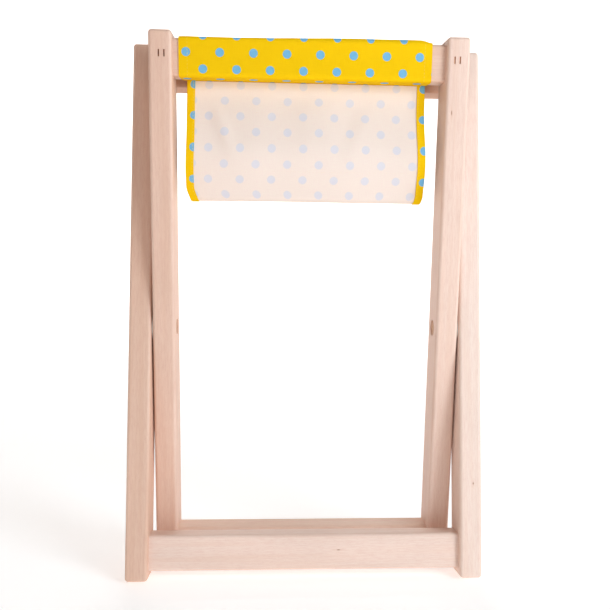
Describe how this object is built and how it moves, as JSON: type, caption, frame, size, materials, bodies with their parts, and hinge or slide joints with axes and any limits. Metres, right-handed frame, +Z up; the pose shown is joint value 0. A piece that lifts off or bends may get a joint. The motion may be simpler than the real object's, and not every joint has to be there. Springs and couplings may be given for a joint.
{
  "type": "folding sling stool",
  "caption": "Small folding X-frame stool for a child: two hinged beech frames with a short spotted cloth sling hung between their top rails, standing almost closed.",
  "frame": {"origin": "on the floor, under the middle of the bounding box, below the pivot axis", "axes": "+Z up, +X across the stool from its left to its right as seen from the front, +Y from front to back; the pivot axis is parallel to X"},
  "size_m": [0.352, 0.0886, 0.5333],
  "materials": {
    "beech": "pale beech, fine straight grain, sanded satin",
    "dowel": "beech end grain, darker, sanded",
    "staple_wire": "bright galvanised wire",
    "washer": "natural nylon",
    "sling_cloth": "yellow cotton with pale blue spots, pale wrong side"
  },
  "bodies": {
    "outer_frame": {"outer_left_stile": "beech", "outer_right_stile": "beech", "outer_top_rail": "beech", "outer_bottom_rail": "beech", "outer_staples": "staple_wire", "left_pivot_pin": "dowel", "right_pivot_pin": "dowel", "left_spacer_washer": "washer", "right_spacer_washer": "washer", "sling_rear_pocket": "sling_cloth"},
    "inner_frame": {"inner_left_stile": "beech", "inner_right_stile": "beech", "inner_top_rail": "beech", "inner_bottom_rail": "beech", "inner_staples": "staple_wire", "sling_front_pocket": "sling_cloth"},
    "sling_front_upper": {"sling_front_upper_panel": "sling_cloth"},
    "sling_front_lower": {"sling_front_lower_panel": "sling_cloth"},
    "sling_rear_upper": {"sling_rear_upper_panel": "sling_cloth"},
    "sling_rear_lower": {"sling_rear_lower_panel": "sling_cloth"}
  },
  "joints": [
    {"name": "fold", "type": "hinge", "parent": "outer_frame", "child": "inner_frame", "pos_m": [0, 0, 0.24924], "axis": [1, 0, 0], "range_deg": [-2.8, 49]},
    {"name": "front_cloth_swing", "type": "hinge", "parent": "inner_frame", "child": "sling_front_upper", "pos_m": [0, -0.01112, 0.48988], "axis": [1, 0, 0], "range_deg": [-3.11, 49.41]},
    {"name": "front_cloth_bend", "type": "hinge", "parent": "sling_front_upper", "child": "sling_front_lower", "pos_m": [0, -0.019, 0.43088], "axis": [1, 0, 0], "range_deg": [-17.36, 1.27]},
    {"name": "rear_cloth_swing", "type": "hinge", "parent": "outer_frame", "child": "sling_rear_upper", "pos_m": [0, 0.01112, 0.48988], "axis": [1, 0, 0], "range_deg": [-49.41, 3.11]},
    {"name": "rear_cloth_bend", "type": "hinge", "parent": "sling_rear_upper", "child": "sling_rear_lower", "pos_m": [0, 0.019, 0.43088], "axis": [1, 0, 0], "range_deg": [-1.27, 17.36]}
  ],
  "couplings": [
    {"joint": "front_cloth_swing", "follows": "fold", "ratio": 1.0023},
    {"joint": "front_cloth_bend", "follows": "fold", "ratio": -0.3481},
    {"joint": "rear_cloth_swing", "follows": "fold", "ratio": -1.0023},
    {"joint": "rear_cloth_bend", "follows": "fold", "ratio": 0.3481}
  ]
}
